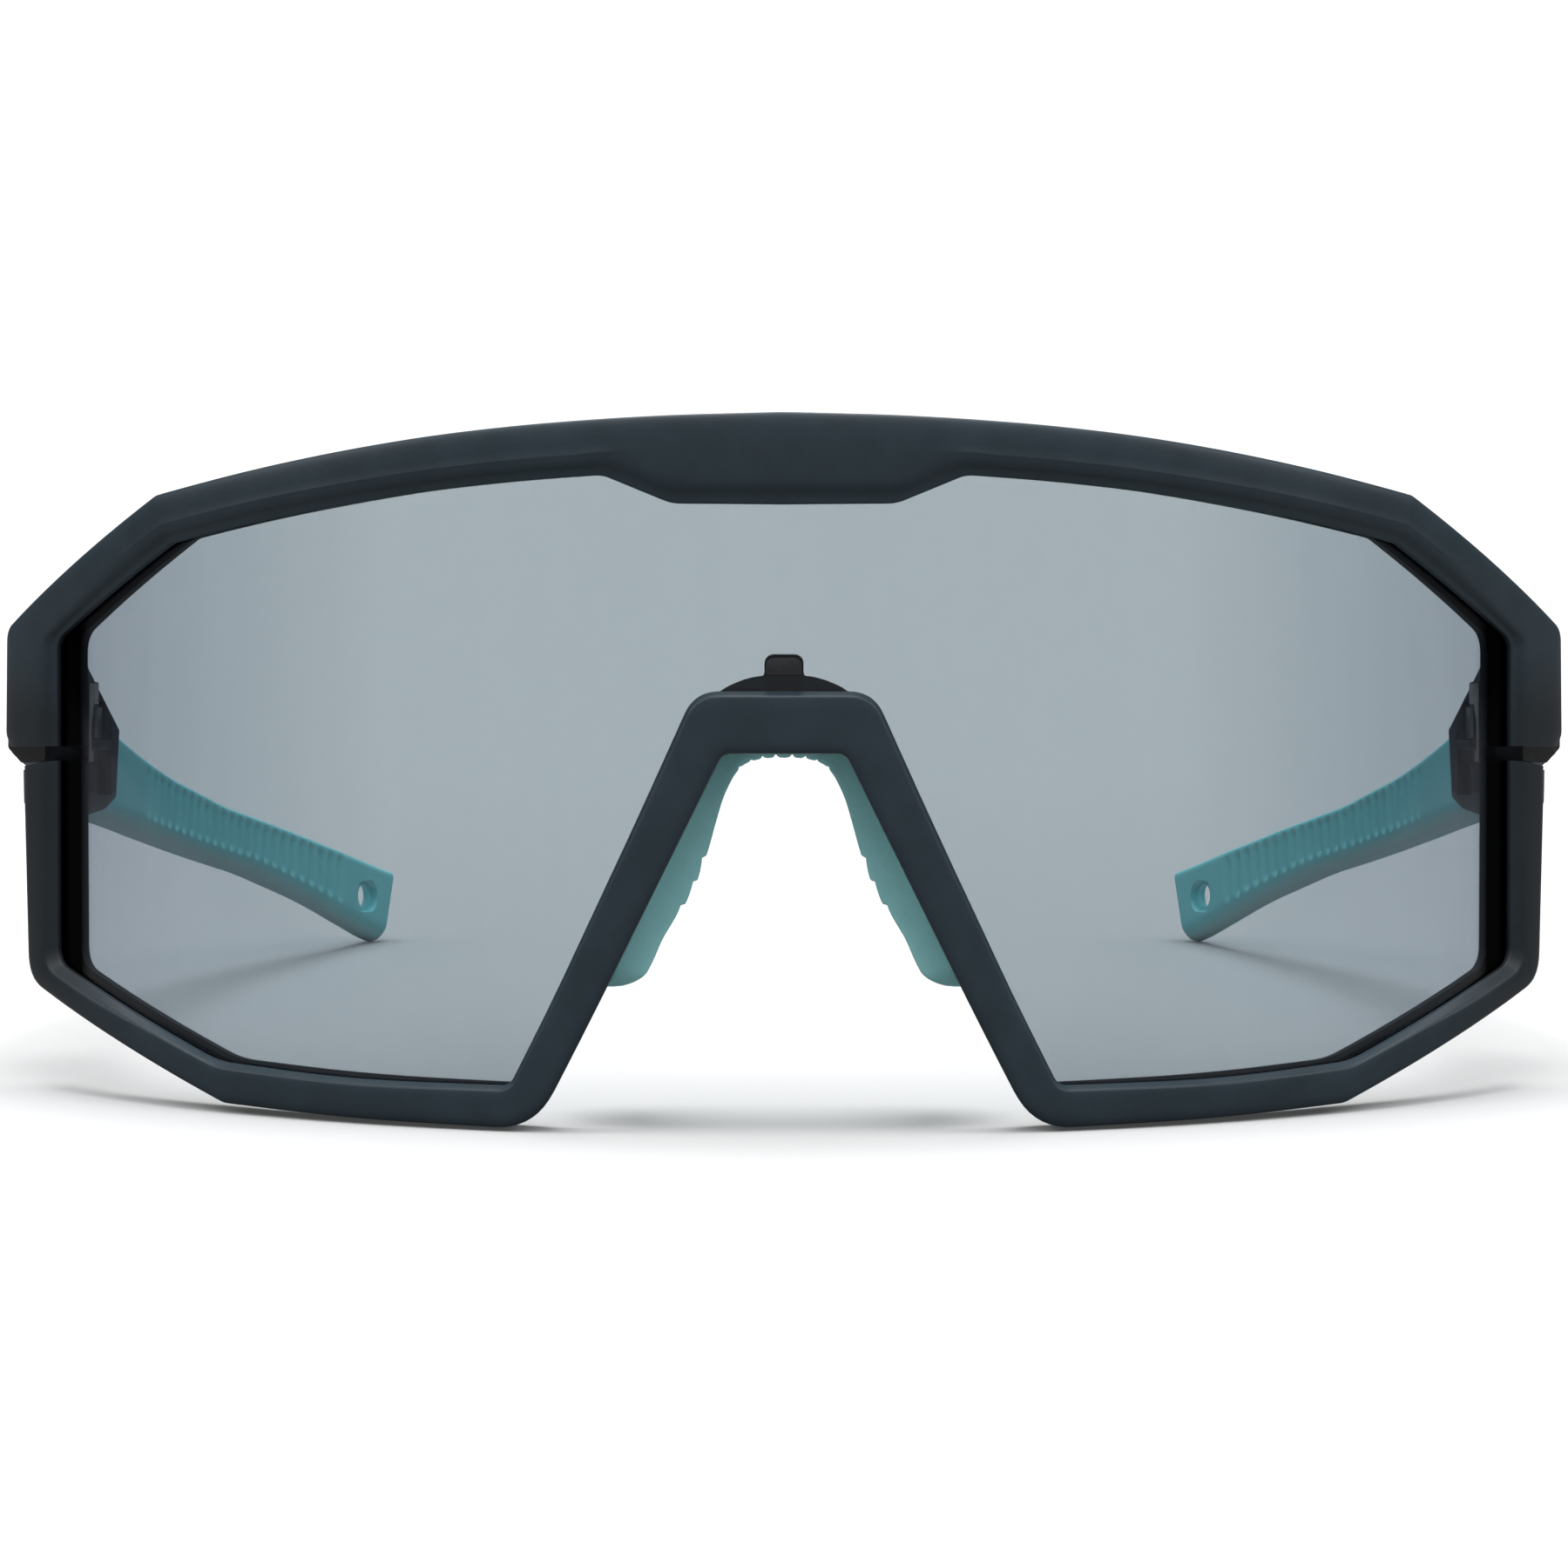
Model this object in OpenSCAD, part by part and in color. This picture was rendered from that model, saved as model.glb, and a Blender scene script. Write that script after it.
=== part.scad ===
// Wraparound sport sunglasses: one cylindrical shield lens held between a brow
// frame and a separate lower rim, a clip-on nose piece and two folding temples.
//
// Modelled in the glasses' own frame first: X across, Y back from the foremost
// point of the front, Z up, with the lens cylinder's axis upright. The module
// stand() then leans that frame back by the few degrees at which the lower rim
// and both temple tips touch the table. The wearer's left is at +X.

/* [Lens] */
// Radius of the outer face of the lens
lens_r = 86; // [85:0.5:87]
// Thickness of the lens
lens_t = 2.2; // [1.8:0.1:2.3]
// Play between the lens and each groove wall
groove_play = 0.12; // [0.1:0.01:0.14]

/* [Frames] */
// Height of the front face over the lens
face_h = 1.4; // [1.2:0.1:1.6]
// Height of the front lip over the lens
lip_h = 0.6; // [0.4:0.1:0.8]
// Thickness of the rear lip
rear_lip = 0.9; // [0.7:0.1:1.1]
// Width of the inner bevel
bevel_w = 1.6; // [1:0.1:1.8]
// Depth of the frames from front to back at the brow
frame_depth = 4.4; // [4.3:0.1:4.8]
// Depth of the frames from front to back at the sides
side_depth = 2.5; // [2.4:0.1:2.8]

/* [Hinges] */
// Distance of each hinge axis from the middle
hinge_x = 65.4; // [65.2:0.1:65.6]
// Distance of the hinge axes behind the foremost point
hinge_y = 44; // [43.9:0.1:44.2]
// Outer radius of the hinge knuckles
knuckle_r = 2.2; // [2:0.1:2.3]
// Radius of the hinge screw's shank
screw_r = 0.8; // [0.7:0.05:0.9]
// Radial play of the temple knuckle on the screw
hinge_play = 0.05; // [0.02:0.01:0.08]

/* [Temples] */
// Radius of the cord hole in each tip
cord_hole_r = 1.3; // [1.1:0.05:1.4]
// Wall left around the cord hole between its two recesses
cord_web = 0.6; // [0.5:0.1:1]

/* [Nose piece] */
// Width of the clip's tab in the lens slot
tab_w = 3.1; // [2.8:0.1:3.4]
// Play of the tab in the lens slot
tab_play = 0.1; // [0.05:0.01:0.15]

/* [Hidden] */
// Lean of the front when it stands on a table, and the shift to the table
lean = 4.32;
rest_y = -79.39;
rest_z = 29.63;

// Distance of the lens cylinder's axis behind the foremost point
axis_y = lens_r + face_h;
inner_h = lens_t + groove_play;
back_h = inner_h + rear_lip;

slate = [0.15, 0.19, 0.22];
mint = [0.46, 0.72, 0.70];
black = [0.05, 0.05, 0.06];
steel = [0.7, 0.7, 0.72];
brass = [0.75, 0.6, 0.3];

// ---------------------------------------------------------------------
// The front is drawn flat, as s along the lens and z up it, and then wrapped
// onto the lens cylinder. Each row below is a corner of a half outline:
//   outer edge s, z, corner radius,
//   lip edge s, z, corner radius,
//   depth of the groove, set-back of the rear lip
// ---------------------------------------------------------------------

// From the middle of the brow to the lower end of a side leg
BROW = [
    [0, 31.3, 0, 0, 23.55, 0, 2.6, 0.15],
    [9.2, 31.1, 30, 9.5, 23.65, 4, 2.6, 0.15],
    [14.8, 30.85, 30, 15.4, 26.1, 3, 2.6, 0.25],
    [22.2, 30.4, 60, 22.3, 25.7, 60, 2.6, 0.35],
    [30, 29.7, 60, 30, 25.05, 60, 2.6, 0.35],
    [38, 28.7, 60, 38.3, 24.05, 60, 2.6, 0.35],
    [46.8, 27.4, 60, 47.2, 22.85, 60, 2.6, 0.35],
    [59, 25.35, 1.5, 57.4, 21.15, 1.5, 2.6, 0.5],
    [81.3, 14, 1.5, 73.35, 12.9, 1.5, 3.05, 0.6],
    [81.45, 4.5, 1, 73.35, 4.4, 1, 3.05, 0.55],
    [80.6, 3.4, 0, 73.35, 3.4, 0, 3.05, 0.55]
];

// From the upper end of a lower leg to the middle of the nose arch
RIM = [
    [77.9, 1.6, 0, 73.35, 2.1, 0, 3.05, 0.5],
    [77.9, -1, 20, 73.35, -1, 20, 3.05, 0.5],
    [77.1, -17.5, 3.5, 73.3, -15.9, 2, 3.05, 0.4],
    [51, -27.7, 3, 52.3, -24.1, 11, 1.9, -0.1],
    [38, -28.6, 60, 38.3, -25.3, 60, 1.8, -0.3],
    [21.1, -29.2, 5.5, 23.4, -25.55, 1.4, 1.8, -0.1],
    [16.2, -19.85, 60, 19.6, -18.2, 60, 2.2, 0],
    [9, -5.3, 60, 12.7, -3.7, 60, 2.2, 0],
    [5.15, 2.55, 1.2, 7.5, 7.8, 3.2, 1.9, 0],
    [0, 2.55, 0, 0, 7.8, 0, 1.9, 0]
];

function s_z(v) = [v[0], v[1]];
function unit(v) = v / norm(v);
function left_of(v) = [-v[1], v[0]];
function rev(l) = [for (i = [len(l) - 1:-1:0]) l[i]];
function flip(l) = [for (p = rev(l)) [for (k = [0:len(p) - 1]) k == 0 ? -p[0] : p[k]]];

// A corner at p between a and b, cut back and bent over with k steps
function cut(a, p, b, r) = let (
    u = unit(s_z(a) - s_z(p)), v = unit(s_z(b) - s_z(p)),
    half = acos(max(-1, min(1, u * v))) / 2)
    min(max(0.3, half > 89.9 ? 0 : r / tan(half)), 0.45 * norm(s_z(a) - s_z(p)), 0.45 * norm(s_z(b) - s_z(p)));
function toward(p, q, t) = p + (q - p) * t / norm(s_z(q) - s_z(p));
function bend(a, p, b, r, k) = let (
    t = cut(a, p, b, r), f = toward(p, a, t), g = toward(p, b, t))
    [for (i = [0:k]) let (w = i / k) f * (1 - w) * (1 - w) + p * 2 * w * (1 - w) + g * w * w];

// Steps of each edge, the same for the outer edge and the lip
function steps(rows, step) = [for (i = [0:len(rows) - 2]) let (a = rows[i], b = rows[i + 1])
    max(1, ceil(max(norm([b[0] - a[0], b[1] - a[1]]), norm([b[3] - a[3], b[4] - a[4]])) / step))];

// A path through points p with corner radii r, k steps a corner, n steps an edge
function smooth(p, r, k, n) = let (
    m = len(p),
    corner = [for (i = [0:m - 1]) i == 0 || i == m - 1 ? [p[i]] : bend(p[i - 1], p[i], p[i + 1], r[i], k)])
    [for (i = [0:m - 1]) each concat(corner[i],
        i == m - 1 ? [] : let (a = corner[i][len(corner[i]) - 1], b = corner[i + 1][0])
            n[i] < 2 ? [] : [for (j = [1:n[i] - 1]) a + (b - a) * j / n[i]])];

function outer_half(rows, k, step) = smooth([for (q = rows) [q[0], q[1]]], [for (q = rows) q[2]], k, steps(rows, step));
function lip_half(rows, k, step) = smooth([for (q = rows) [q[3], q[4], q[6], q[7]]], [for (q = rows) q[5]], k, steps(rows, step));

// Both halves in one run, with the frame's solid on the left of the way
function tail(l) = [for (i = [1:len(l) - 1]) l[i]];
function head(l) = [for (i = [0:len(l) - 2]) l[i]];
function brow_full(h) = concat(head(flip(h)), h);
function rim_full(h) = concat(h, tail(flip(h)));

corner_steps = 3;
edge_step = 4.2;
brow_outer = brow_full(outer_half(BROW, corner_steps, edge_step));
brow_lip = brow_full(lip_half(BROW, corner_steps, edge_step));
rim_outer = rim_full(outer_half(RIM, corner_steps, edge_step));
rim_lip = rim_full(lip_half(RIM, corner_steps, edge_step));

function normal_at(p, i) = let (
    a = p[max(0, i - 1)], b = p[min(len(p) - 1, i + 1)]) left_of(unit(s_z(b) - s_z(a)));

// Wrap: s along the lens, z up, h over the lens's outer face
function wrap(s, z, h) = let (a = s / lens_r * 180 / PI)
    [(lens_r + h) * sin(a), axis_y - (lens_r + h) * cos(a), z];
function wrap2(p, h) = wrap(p[0], p[1], h);

function depth_at(s) = let (t = max(0, min(1, (abs(s) - 48) / 34)))
    frame_depth + (side_depth - frame_depth) * t;

// Depth of the groove, kept inside the outer wall
function groove(o, l, n) = min(l[2], (o - s_z(l)) * n - 0.95);

// One cross-section of a frame: outer wall, back, rear lip, groove, front lip, bevel
function section(o, l, n) = let (
    d = norm(o - s_z(l)), u = (o - s_z(l)) / d, g = groove(o, l, n), p = s_z(l),
    w = (o - p) * n - g)
    [
        wrap2(o - u * 0.4, face_h),
        wrap2(o, face_h - 0.4),
        wrap2(o, face_h - 0.4) + [0, depth_at(o[0]), 0],
        wrap2(p + n * (g + min(0.8, 0.45 * w)), -back_h),
        wrap2(p + n * l[3], -back_h),
        wrap2(p + n * l[3], -inner_h),
        wrap2(p + n * g, -inner_h),
        wrap2(p + n * g, groove_play),
        wrap2(p, groove_play),
        wrap2(p, lip_h),
        wrap2(p + n * min(bevel_w, 0.5 * d), face_h)
    ];
CAP = [[7, 8, 9], [7, 9, 10], [7, 10, 0], [7, 0, 1], [7, 1, 2], [7, 2, 6], [6, 2, 3], [6, 3, 4], [6, 4, 5]];

// A closed solid from equal rings of points
module loft(rings, cap) {
    m = len(rings[0]);
    k = len(rings);
    polyhedron(points = [for (r = rings) each r],
        faces = concat(
            [for (i = [0:k - 2], j = [0:m - 1]) [i * m + j, i * m + (j + 1) % m, (i + 1) * m + j]],
            [for (i = [0:k - 2], j = [0:m - 1]) [i * m + (j + 1) % m, (i + 1) * m + (j + 1) % m, (i + 1) * m + j]],
            [for (t = cap) [t[0], t[2], t[1]]],
            [for (t = cap) [for (v = t) v + (k - 1) * m]]),
        convexity = 12);
}

module frame_loft(outer, lip)
    loft([for (i = [0:len(outer) - 1]) section(outer[i], lip[i], normal_at(lip, i))], CAP);

// ---------------------------------------------------------------------
// Extrusions along each axis
// ---------------------------------------------------------------------
module along_x(x0, x1, yz) translate([x0, 0, 0]) rotate([90, 0, 90]) linear_extrude(x1 - x0) polygon(yz);
module along_y(y0, y1, xz) translate([0, y1, 0]) rotate([90, 0, 0]) linear_extrude(y1 - y0) polygon(xz);
module along_z(z0, z1, xy) translate([0, 0, z0]) linear_extrude(z1 - z0) polygon(xy);
module block(a, b) translate(a) cube(b - a);
module at_hinge(z) translate([hinge_x, hinge_y, z]) children();

module stand() translate([0, rest_y, rest_z]) rotate([-lean, 0, 0]) children();
module left() stand() children();
module right() stand() mirror([1, 0, 0]) children();

// ---------------------------------------------------------------------
// Front
// ---------------------------------------------------------------------
hinge_top = 9.4;
hinge_low = 1.9;
knuckle_h = 2.2;
butt_y = hinge_y - 2.75;

// Tenon of the hinge block, and its pocket in the side leg
module tenon() block([66.9, 35.8, 4.4], [69.6, 39.5, 8.6]);

module upper_frame() color(slate) stand() difference() {
    frame_loft(brow_outer, brow_lip);
    tenon();
    mirror([1, 0, 0]) tenon();
}

module lower_frame() color(slate) stand() frame_loft(rim_outer, rim_lip);

// The lens: upright strips between its upper and lower edges
lens_edge = groove_play + 0.03;
function edge_of(lip, outer) = [for (i = [0:len(lip) - 1]) let (n = normal_at(lip, i))
    s_z(lip[i]) + n * (groove(outer[i], lip[i], n) - lens_edge)];
side_s = BROW[len(BROW) - 1][3] + BROW[len(BROW) - 1][6] - lens_edge;
function along(e) = [for (q = e) if (abs(q[0]) < side_s - 0.02) q];
function up(e) = [for (q = e) if (abs(q[0]) >= side_s - 0.02) q[1]];
function with_ends(e, z) = concat([[-side_s, z]], along(e), [[side_s, z]]);
top_edge = edge_of(brow_lip, brow_outer);
low_edge = rev(edge_of(rim_lip, rim_outer));
lens_top = with_ends(top_edge, max(up(top_edge)));
lens_low = with_ends(low_edge, min(up(low_edge)));

function sorted(l) = len(l) <= 1 ? l : let (p = l[floor(len(l) / 2)])
    concat(sorted([for (v = l) if (v < p) v]), [for (v = l) if (v == p) v], sorted([for (v = l) if (v > p) v]));
lens_all = sorted(concat([for (q = lens_top) q[0]], [for (q = lens_low) q[0]]));
lens_cols = [for (i = [0:len(lens_all) - 1]) if (i == 0 || lens_all[i] - lens_all[i - 1] > 0.01) lens_all[i]];

module lens_shell() loft([for (s = lens_cols) let (a = lookup(s, lens_low), b = lookup(s, lens_top))
    [wrap(s, b, 0), wrap(s, b, -lens_t), wrap(s, a, -lens_t), wrap(s, a, 0)]], [[0, 1, 2], [0, 2, 3]]);

// Outline of the tab, with a play all round
tab_z = 9.25;
tab_top = 10.87;
function tab(g) = let (w = tab_w / 2 + g, c = 0.35 + 0.4 * g) [[-w, tab_z - g], [w, tab_z - g],
    [w, tab_top + g - c], [w - c, tab_top + g], [-w + c, tab_top + g], [-w, tab_top + g - c]];

module lens() color([0.6, 0.66, 0.69, 0.45]) stand() difference() {
    lens_shell();
    along_y(-1, 9, tab(tab_play));
}

// ---------------------------------------------------------------------
// Nose piece
// ---------------------------------------------------------------------
// Inner edge of the pad from the middle to the wing's tip, its thickness, and how
// far its section turns out
PAD = [[0, 2.2, 2.6, 0], [2, 2.1, 2.6, 0], [3.4, 1.5, 2.7, 0], [4.3, 0.4, 2.8, 0], [5.1, -1.3, 2.9, 0], [5.75, -3.3, 3, 0],
    [6.5, -5.8, 3.1, 0], [7.3, -8.2, 3.2, 0], [8.65, -10.8, 3.2, 0], [10.2, -13, 3.1, 8],
    [11.5, -15.3, 3, 16], [12.9, -17.4, 2.7, 28]];
function turned(n, a) = [n[0] * cos(a) + abs(n[1]) * sin(a) * sign(n[0]), n[1] * cos(a) - abs(n[0]) * sin(a)];
pad_run = concat(head(flip(PAD)), PAD);
// The pad spreads as it goes back, and its wings reach further back than its bridge
function pad_ring(i) = let (q = pad_run[i], n = turned(normal_at(pad_run, i), q[3]), p = s_z(q), t = q[2],
    w = min(1, abs(q[0]) / 6), back = 14.5 + 3 * w, out = 0.6 + 1.7 * w)
    [
        [p[0], 7.4, p[1]],
        [p[0] + n[0] * t, 7.4, p[1] + n[1] * t],
        [p[0] + n[0] * (t + out), back - 0.6, p[1] + n[1] * (t + out)],
        [p[0] + n[0] * (t + out) - n[0] * 0.8, back, p[1] + n[1] * (t + out) - n[1] * 0.8],
        [p[0] + n[0] * (out + 0.5), back, p[1] + n[1] * (out + 0.5)],
        [p[0] + n[0] * out, back - 0.8, p[1] + n[1] * out]
    ];

// Spine of the clip that the rubber is moulded around
module spine() block([-3.2, 7.2, 3.1], [3.2, 13, 4.3]);

module nose_clip() color(black) stand() {
    // Plate behind the arch, with its shoulders over it
    along_y(5.2, 7.2, [[-7.4, 3], [7.4, 3], [7, 5.9], [6.2, 7.3], [5.35, 7.95], [4.4, 8.45], [3.5, 8.8], [1.65, 9.2],
        [-1.65, 9.2], [-3.5, 8.8], [-4.4, 8.45], [-5.35, 7.95], [-6.2, 7.3], [-7, 5.9]]);
    // Step forward onto the lens above the arch
    along_y(3.8, 5.2, [[-5.1, 8.1], [5.1, 8.1], [4.4, 8.45], [3.5, 8.8], [1.65, 9.2], [-1.65, 9.2], [-3.5, 8.8], [-4.4, 8.45]]);
    // Tab through the slot in the lens
    along_y(0.75, 7.2, tab(0));
    // Shoulder of the tab behind the lens, as large as the slot
    along_y(3.8, 5.2, tab(tab_play));
    spine();
}

// Bendable strip in each wing, from the spine's side to near the tip
CORE = [2, 3, 4, 5, 6, 7, 8, 9];
function core_at(i, d) = let (k = len(PAD) - 1 + i, q = PAD[i], n = turned(normal_at(pad_run, k), q[3]),
    w = min(1, q[0] / 6)) s_z(q) + n * (1.5 + 0.7 * w + d);
module strips() for (m = [0, 1]) mirror([m, 0, 0])
    along_y(10.4, 12.4, concat([[3.2, 3.2]], [for (i = CORE) core_at(i, -0.4)], [for (i = rev(CORE)) core_at(i, 0.4)], [[3.2, 4.2]]));

module nose_core() color(steel) stand() strips();

module nose_pad() color(mint) stand() difference() {
    loft([for (i = [0:len(pad_run) - 1]) pad_ring(i)], [[0, 1, 2], [0, 2, 3], [0, 3, 4], [0, 4, 5]]);
    spine();
    strips();
}

// ---------------------------------------------------------------------
// Hinge, drawn for the wearer's left
// ---------------------------------------------------------------------
module bore(z0, z1, r) at_hinge(z0) cylinder(h = z1 - z0, r = r, $fn = 48);

module hinge_block_shape() difference() {
    union() {
        intersection() {
            along_z(hinge_low, hinge_top, [[63.2, 37.1], [64.7, 37.1], [71, 39.3], [71, butt_y], [63.2, butt_y]]);
            along_y(30, 50, [[63.2, hinge_low], [69.6, hinge_low], [70.9, 3.3], [70.9, hinge_top - 0.5],
                [70.4, hinge_top], [63.2, hinge_top]]);
        }
        tenon();
        for (z = [hinge_low, hinge_top - knuckle_h]) {
            at_hinge(z) cylinder(h = knuckle_h, r = knuckle_r, $fn = 48);
            block([hinge_x - knuckle_r, butt_y - 0.5, z], [hinge_x + knuckle_r, hinge_y, z + knuckle_h]);
        }
    }
    // Seats for the screw and the nut
    bore(0, 12, screw_r);
    bore(hinge_top - 0.9, 12, screw_r + 0.6);
    bore(0, hinge_low + 1.8, screw_r + 0.6);
}

module hinge_screw_shape() difference() {
    union() {
        bore(hinge_low, hinge_top, screw_r);
        bore(hinge_top - 0.9, hinge_top - 0.1, screw_r + 0.6);
    }
    // Cross slot in the head
    at_hinge(hinge_top - 0.5) {
        translate([-0.95, -0.15, 0]) cube([1.9, 0.3, 1]);
        translate([-0.15, -0.95, 0]) cube([0.3, 1.9, 1]);
    }
}

module hinge_nut_shape() difference() {
    bore(hinge_low, hinge_low + 1.8, screw_r + 0.6);
    bore(0, 12, screw_r);
}

// ---------------------------------------------------------------------
// Temple, drawn for the wearer's left
// ---------------------------------------------------------------------
// Inner face of the temple across from the middle, at a distance back
function inner_x(y) = 67.5 - 0.00178 * (y - 45) * (y - 45);
TH = [[50, 3.3], [60, 3.6], [70, 3.9], [80, 4], [100, 3.8], [130, 3.4], [146, 2.5], [150, 2.4], [162, 2.4]];
function thick(y) = lookup(y, TH);
function plan(y0, y1, a, b, n) = concat(
    [for (i = [0:n]) let (y = y0 + (y1 - y0) * i / n) [inner_x(y) + thick(y) * b, y]],
    [for (i = [n:-1:0]) let (y = y0 + (y1 - y0) * i / n) [inner_x(y) + thick(y) * a, y]]);

// Upper and lower edges of the temple from the side
TOP = [[butt_y + 0.1, 10.9], [50, 10.7], [60, 8.6], [70, 6.5], [81, 4.2], [90, 2.3], [98.5, 0.6], [107, -0.8],
    [115, -2.3], [125, -3.7], [134.5, -5.2], [147, -7.5], [158.8, -10], [160, -10.8]];
LOW = [[157.6, -17.3], [156.4, -17.9], [150, -16], [140, -13], [125, -9.7], [111, -7.8], [98.5, -6.1],
    [85, -4.4], [73, -3.2], [60, -3], [52, -2.9], [46, -0.5], [butt_y + 0.1, hinge_low]];

// The joint between the hard arm and the rubber sleeve is slanted from the side
module arm_profile() along_x(50, 80, concat([for (q = TOP) if (q[0] < 74) q], [[73.9, 6], [70, -3.15]],
    [for (q = LOW) if (q[0] < 69) q]));

module temple_arm_shape() {
    w = hinge_low + knuckle_h;
    difference() {
        intersection() {
            arm_profile();
            // From above: the boss over the hinge, then the slim arm
            along_z(-10, 15, concat([[67.9, butt_y + 0.1], [70.8, butt_y + 0.1], [70.8, 55]],
                [for (y = [60:3:78]) [inner_x(y) + thick(y), y]],
                [for (y = [78:-3:60]) [inner_x(y), y]],
                [[66.4, 59], [62.9, 54], [61.9, 52], [61.3, hinge_y + 2.6], [67.9, hinge_y + 2.6]]));
            // From the front: the boss slopes in
            translate([61.3, hinge_y, 0]) rotate([0, 0, -7]) along_y(-10, 60, [[0, 5], [0.3, -1.2], [1.3, -2.3], [3.2, -3],
                [8, -4], [20, -4], [20, 12], [3, 12], [2.8, 10.6]]);
        }
        // Facets at the front below the block
        along_z(-10, 2, [[69.6, 40], [72, 40], [72, 50], [70.8, 49]]);
        along_y(40, 50, [[69.2, 1.3], [71.3, 1.3], [71.3, 3.3]]);
        // Recesses in the boss
        block([62.4, hinge_y, 4], [63.7, hinge_y + 4.4, 7.6]);
        block([62.4, hinge_y, -1], [63.7, hinge_y + 4.4, 3.1]);
        core_shape();
    }
    // Knuckle between the block's two
    difference() {
        union() {
            at_hinge(w + 0.1) cylinder(h = hinge_top - knuckle_h - w - 0.2, r = knuckle_r, $fn = 48);
            block([hinge_x - knuckle_r, hinge_y, w + 0.1], [hinge_x + 2.5, hinge_y + 2.6, hinge_top - knuckle_h - 0.1]);
        }
        bore(0, 12, screw_r + hinge_play);
    }
}

// Flat bendable strip from inside the arm to near the cord hole
module core_shape() intersection() {
    along_z(-30, 10, plan(64, 144, 0.36, 0.62, 16));
    along_x(40, 80, concat([for (y = [64:10:144]) [y, lookup(y, [[64, 3.4], [81, 1.6], [98.5, -1.4], [125, -5.4], [144, -9.2]])]],
        [for (y = [144:-10:64]) [y, lookup(y, [[64, 0.2], [81, -1.6], [98.5, -4.6], [125, -8.6], [144, -12.4]])]]));
}

// The cord hole lies square to the tip: a round hole in a thin web, with an
// oblong recess on each side that runs the way a cord passes
hole_y = 153.6;
hole_z = -12.6;
hole_turn = atan(2 * 0.00178 * (hole_y - 45));
module at_hole() translate([inner_x(hole_y) + thick(hole_y) / 2, hole_y, hole_z]) rotate([0, 0, hole_turn]) children();
recess_r = cord_hole_r + 0.35;
module oblong(x0, x1, y0, y1) {
    translate([x0, 0, 0]) rotate([0, 90, 0]) {
        for (y = [y0, y1]) translate([0, y, 0]) cylinder(h = x1 - x0, r = recess_r, $fn = 48);
        translate([-recess_r, y0, 0]) cube([2 * recess_r, y1 - y0, x1 - x0]);
    }
}

module temple_sleeve_shape() difference() {
    intersection() {
        along_x(30, 80, concat([[74, 6]], [for (q = TOP) if (q[0] > 75) q], [for (q = LOW) if (q[0] > 72) q], [[70.1, -3.15]]));
        along_z(-30, 15, plan(69, 161, 0, 1, 30));
    }
    core_shape();
    at_hole() {
        oblong(-6, -cord_web / 2, -1.5, 0.3);
        oblong(cord_web / 2, 6, -0.3, 1.5);
        translate([-3, 0, 0]) rotate([0, 90, 0]) cylinder(h = 6, r = cord_hole_r, $fn = 48);
    }
}

module hinge_block_left() color(black) left() hinge_block_shape();
module hinge_block_right() color(black) right() hinge_block_shape();
module hinge_screw_left() color(steel) left() hinge_screw_shape();
module hinge_screw_right() color(steel) right() hinge_screw_shape();
module hinge_nut_left() color(brass) left() hinge_nut_shape();
module hinge_nut_right() color(brass) right() hinge_nut_shape();
module temple_arm_left() color(slate) left() temple_arm_shape();
module temple_arm_right() color(slate) right() temple_arm_shape();
module temple_core_left() color(steel) left() core_shape();
module temple_core_right() color(steel) right() core_shape();
module temple_sleeve_left() color(mint) left() temple_sleeve_shape();
module temple_sleeve_right() color(mint) right() temple_sleeve_shape();

upper_frame();
lower_frame();
lens();
nose_clip();
nose_pad();
nose_core();
hinge_block_left();
hinge_block_right();
hinge_screw_left();
hinge_screw_right();
hinge_nut_left();
hinge_nut_right();
temple_arm_left();
temple_arm_right();
temple_core_left();
temple_core_right();
temple_sleeve_left();
temple_sleeve_right();
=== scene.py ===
import bpy
import bmesh
import math
import numpy as np
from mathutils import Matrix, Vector


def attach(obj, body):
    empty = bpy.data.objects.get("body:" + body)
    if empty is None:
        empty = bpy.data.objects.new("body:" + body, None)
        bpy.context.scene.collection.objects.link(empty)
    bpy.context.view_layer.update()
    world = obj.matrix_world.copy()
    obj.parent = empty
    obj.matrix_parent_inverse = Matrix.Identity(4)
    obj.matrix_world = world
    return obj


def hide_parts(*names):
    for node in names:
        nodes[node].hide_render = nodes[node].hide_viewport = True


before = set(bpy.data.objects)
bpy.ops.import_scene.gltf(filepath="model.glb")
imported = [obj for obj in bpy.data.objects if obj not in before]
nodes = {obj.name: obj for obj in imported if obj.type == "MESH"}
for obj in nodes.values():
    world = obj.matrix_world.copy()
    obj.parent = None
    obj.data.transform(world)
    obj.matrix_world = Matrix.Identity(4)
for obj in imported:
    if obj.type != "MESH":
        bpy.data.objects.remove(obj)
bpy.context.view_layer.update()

# ---------------------------------------------------------------------
# Frames of reference. Everything is drawn in millimetres in the glasses' own
# frame (X across, Y back from the foremost point, Z up, lens upright) and then
# leaned back onto the table, in metres, as the solids are.
# ---------------------------------------------------------------------
LEAN = math.radians(4.32)
CL, SL = math.cos(LEAN), math.sin(LEAN)
REST_Y, REST_Z = -79.39, 29.63


def stand(p):
    p = np.asarray(p, float)
    q = np.empty_like(p)
    q[..., 0] = p[..., 0]
    q[..., 1] = p[..., 1] * CL + p[..., 2] * SL + REST_Y
    q[..., 2] = -p[..., 1] * SL + p[..., 2] * CL + REST_Z
    return q * 0.001


def unstand(q):
    y, z = q[1] * 1000 - REST_Y, q[2] * 1000 - REST_Z
    return np.array([q[0] * 1000, y * CL - z * SL, y * SL + z * CL])


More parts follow.
